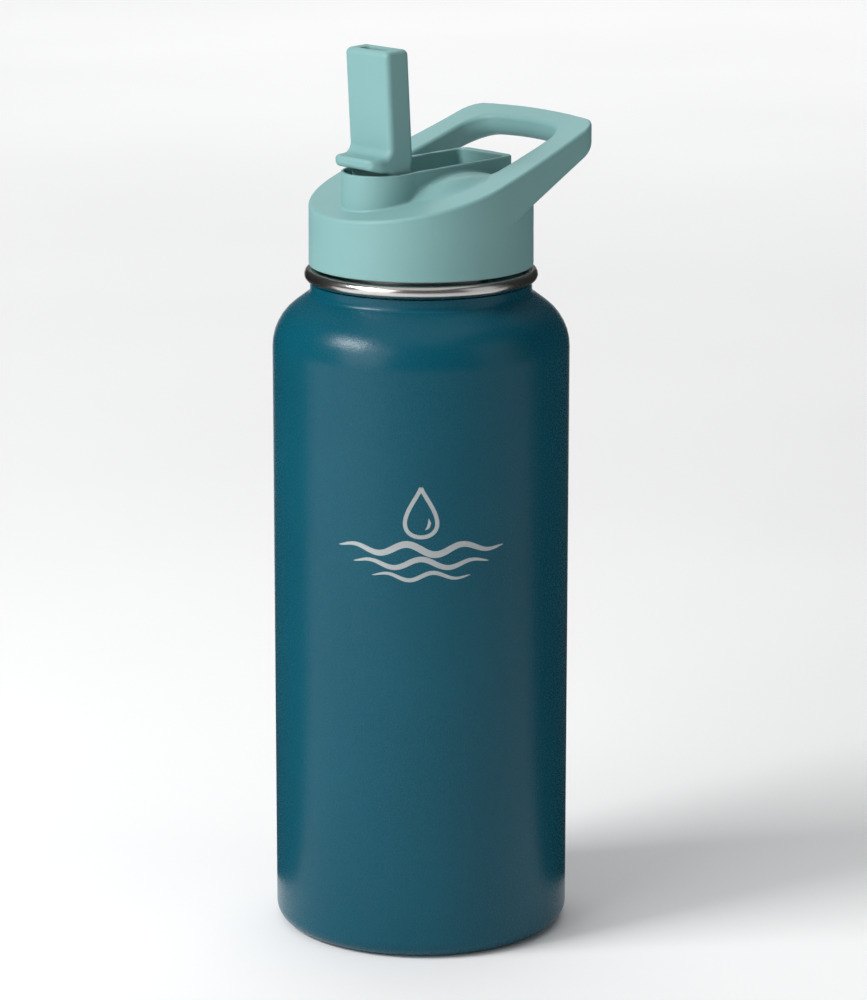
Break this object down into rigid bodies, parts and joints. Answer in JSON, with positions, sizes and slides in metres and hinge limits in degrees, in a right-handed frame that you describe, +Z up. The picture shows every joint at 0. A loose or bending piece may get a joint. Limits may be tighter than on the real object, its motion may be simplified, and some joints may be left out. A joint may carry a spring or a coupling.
{
  "type": "insulated water bottle",
  "caption": "Double-wall steel water bottle with a screw-on lid, a flip-up drinking spout with straw, and a fixed carrying loop.",
  "frame": {"origin": "centre of the base, on the surface that the bottle stands on", "axes": "+Z up along the bottle's axis, +X towards the carrying loop, the lid symmetric about the XZ plane"},
  "size_m": [0.0936, 0.091, 0.2755],
  "materials": {
    "powder_coat": "fine-textured satin powder coat, deep teal",
    "polished_steel": "polished stainless steel",
    "brushed_steel": "brushed stainless steel",
    "copper": "copper foil",
    "solder": "dull grey metal",
    "lid_plastic": "satin moulded polypropylene, sage teal",
    "liner_plastic": "moulded polypropylene, darker teal",
    "silicone": "translucent white silicone",
    "foam": "moulded foam",
    "straw_plastic": "natural polypropylene tube"
  },
  "bodies": {
    "bottle": {"outer_shell": "powder_coat", "neck_collar": "polished_steel", "inner_flask": "brushed_steel", "outer_base": "brushed_steel", "vacuum_plug": "solder", "getter_pellet": "solder", "copper_foil": "copper", "base_cover": "brushed_steel"},
    "gasket": {"lid_gasket": "silicone"},
    "lid": {"lid_shell": "lid_plastic", "lid_liner": "liner_plastic", "foam_disc": "foam", "vent_valve": "silicone", "hinge_pin_left": "polished_steel", "hinge_pin_right": "polished_steel", "spout_seal": "silicone", "straw_fitting": "liner_plastic", "fitting_seal": "silicone", "straw": "straw_plastic"},
    "spout": {"spout": "lid_plastic"}
  },
  "joints": [
    {"name": "lid_rise", "type": "slide", "parent": "bottle", "child": "gasket", "axis": [0, 0, 1], "range_m": [0, 0.006]},
    {"name": "lid_turn", "type": "hinge", "parent": "gasket", "child": "lid", "pos_m": [0, 0, 0.2078], "axis": [0, 0, 1], "range_deg": [0, 540]},
    {"name": "spout_flip", "type": "hinge", "parent": "lid", "child": "spout", "pos_m": [-0.0155, 0, 0.236], "axis": [0, 1, 0], "range_deg": [0, 90]}
  ],
  "couplings": [
    {"joint": "lid_rise", "follows": "lid_turn", "m_per_rad": 0.00063662}
  ]
}
